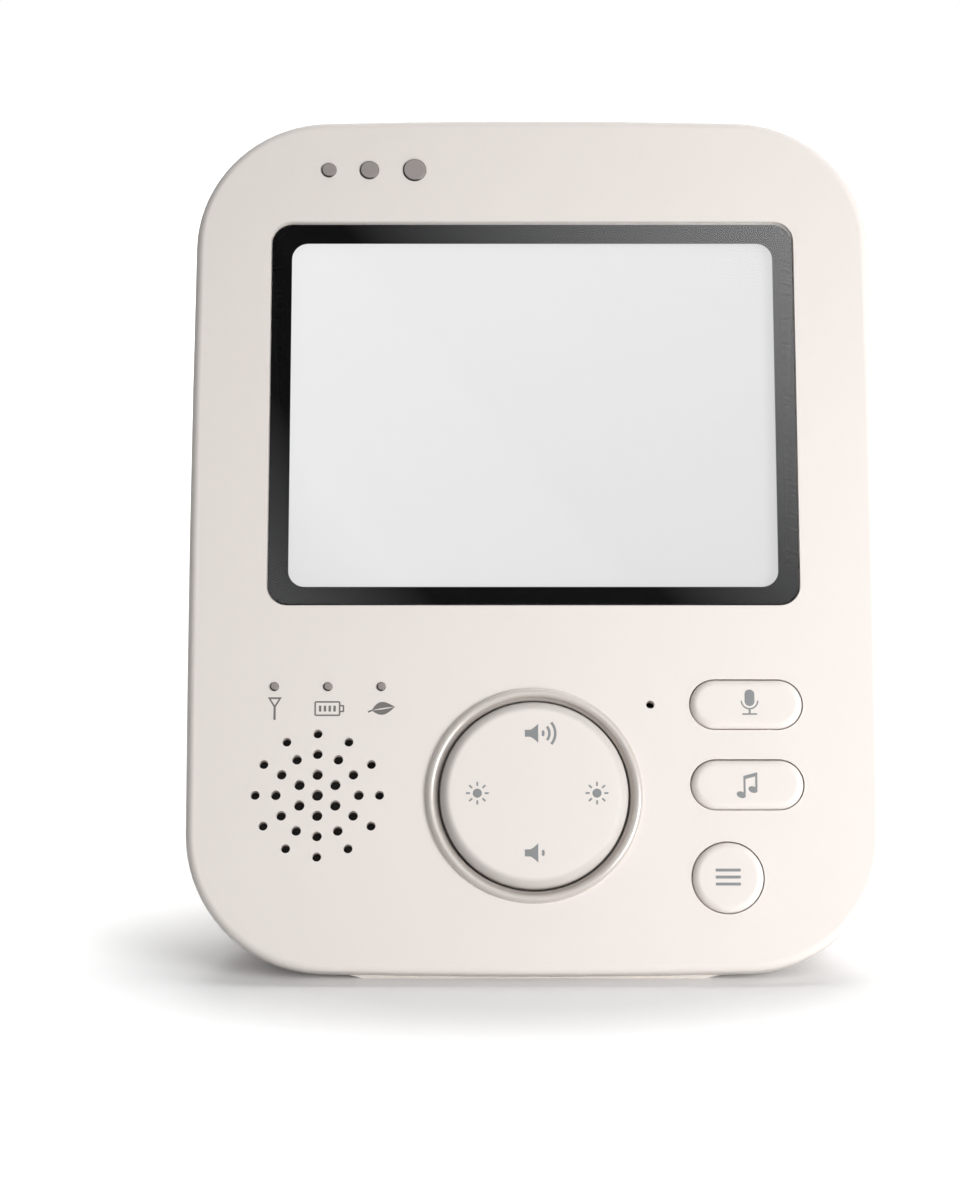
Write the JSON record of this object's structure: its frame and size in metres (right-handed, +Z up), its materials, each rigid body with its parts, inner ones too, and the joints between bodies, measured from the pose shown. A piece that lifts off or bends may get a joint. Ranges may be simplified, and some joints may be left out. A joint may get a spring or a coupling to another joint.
{
  "type": "baby monitor parent unit",
  "caption": "Hand-held screen unit of a video baby monitor, leaning back on its base foot and a fold-out rear stand, with a round tilting control, press buttons and a battery door.",
  "frame": {"origin": "middle of the base foot's underside, where the unit rests on a table", "axes": "+Z up, +X to the right as seen by someone facing the screen, face towards -Y"},
  "size_m": [0.0996, 0.0679, 0.1174],
  "materials": {
    "shell": "fine matt moulded plastic, warm off-white",
    "button_plastic": "smooth satin plastic, warm off-white",
    "soft_foot": "soft thermoplastic rubber in the colour of the housing",
    "pearl_trim": "pearl coated trim ring",
    "window": "clear hard-coated window",
    "black_border": "black printed border behind the window",
    "screen": "blank light grey display surface",
    "backlight": "light unit in a white frame",
    "gasket": "dark foam rubber",
    "inner_plastic": "grey moulded inner part",
    "ribbon": "amber film",
    "connector": "dark connector plastic",
    "board": "green circuit board",
    "steel": "plated steel",
    "switch": "small switch body",
    "lamp": "lamp package",
    "light_lens": "smoked light rod",
    "tin_plate": "tinned sheet steel",
    "cloth": "thin black dust cloth",
    "speaker_steel": "speaker basket and magnet cup",
    "cone_paper": "pressed paper cone",
    "spring_brass": "plated contact springs",
    "chip": "black chip package",
    "battery_wrap": "grey shrink wrap"
  },
  "bodies": {
    "housing": {"front_cover": "shell", "rear_shell": "shell", "base_foot": "soft_foot", "display_window": "window", "window_mask": "black_border", "display_gasket": "gasket", "display_panel": "screen", "backlight": "backlight", "display_holder": "inner_plastic", "display_ribbon": "ribbon", "ribbon_connector": "connector", "main_board": "board", "board_screws": "steel", "case_screws": "steel", "control_switches": "switch", "button_switches": "switch", "indicator_lamps": "lamp", "sound_lights": "light_lens", "status_lights": "light_lens", "microphone": "tin_plate", "microphone_boot": "gasket", "speaker_cloth": "cloth", "speaker_gasket": "gasket", "speaker_frame": "speaker_steel", "speaker_cone": "cone_paper", "speaker_contacts": "spring_brass", "radio_shield": "tin_plate", "processor": "chip", "memory_chip": "chip", "antenna": "tin_plate", "charging_socket": "tin_plate", "socket_tongue": "connector", "power_switch": "switch", "control_ring": "pearl_trim", "pivot_post": "inner_plastic", "battery_pack": "battery_wrap", "battery_terminals": "spring_brass", "battery_contacts": "spring_brass", "stand_pins": "steel"},
    "control_pivot": {"control_pivot": "steel"},
    "control_button": {"control_button": "button_plastic"},
    "talk_button": {"talk_button": "button_plastic"},
    "lullaby_button": {"lullaby_button": "button_plastic"},
    "menu_button": {"menu_button": "button_plastic"},
    "power_button": {"power_button": "button_plastic"},
    "stand": {"stand": "shell", "stand_pad": "soft_foot"},
    "battery_door": {"battery_door": "shell", "door_screw": "steel"}
  },
  "joints": [
    {"name": "stand_fold", "type": "hinge", "parent": "housing", "child": "stand", "pos_m": [0, 0.04157, 0.06245], "axis": [1, 0, 0], "range_deg": [-36, 0]},
    {"name": "battery_door_lift", "type": "slide", "parent": "housing", "child": "battery_door", "axis": [0, 0.9135, -0.4067], "range_m": [0, 0.015]},
    {"name": "control_tilt_up_down", "type": "hinge", "parent": "housing", "child": "control_pivot", "pos_m": [0, 0.00583, 0.02298], "axis": [1, 0, 0], "range_deg": [-2, 2], "stiffness_Nm_per_rad": 0.2},
    {"name": "control_tilt_left_right", "type": "hinge", "parent": "control_pivot", "child": "control_button", "pos_m": [0, 0.00583, 0.02298], "axis": [0, 0.4067, 0.9135], "range_deg": [-2, 2], "stiffness_Nm_per_rad": 0.2},
    {"name": "talk_press", "type": "slide", "parent": "housing", "child": "talk_button", "axis": [0, 0.9135, -0.4067], "range_m": [0, 0.0005], "stiffness_N_per_m": 1500},
    {"name": "lullaby_press", "type": "slide", "parent": "housing", "child": "lullaby_button", "axis": [0, 0.9135, -0.4067], "range_m": [0, 0.0005], "stiffness_N_per_m": 1500},
    {"name": "menu_press", "type": "slide", "parent": "housing", "child": "menu_button", "axis": [0, 0.9135, -0.4067], "range_m": [0, 0.0005], "stiffness_N_per_m": 1500},
    {"name": "power_press", "type": "slide", "parent": "housing", "child": "power_button", "axis": [-1, 0, 0], "range_m": [0, 0.0005], "stiffness_N_per_m": 1500}
  ]
}
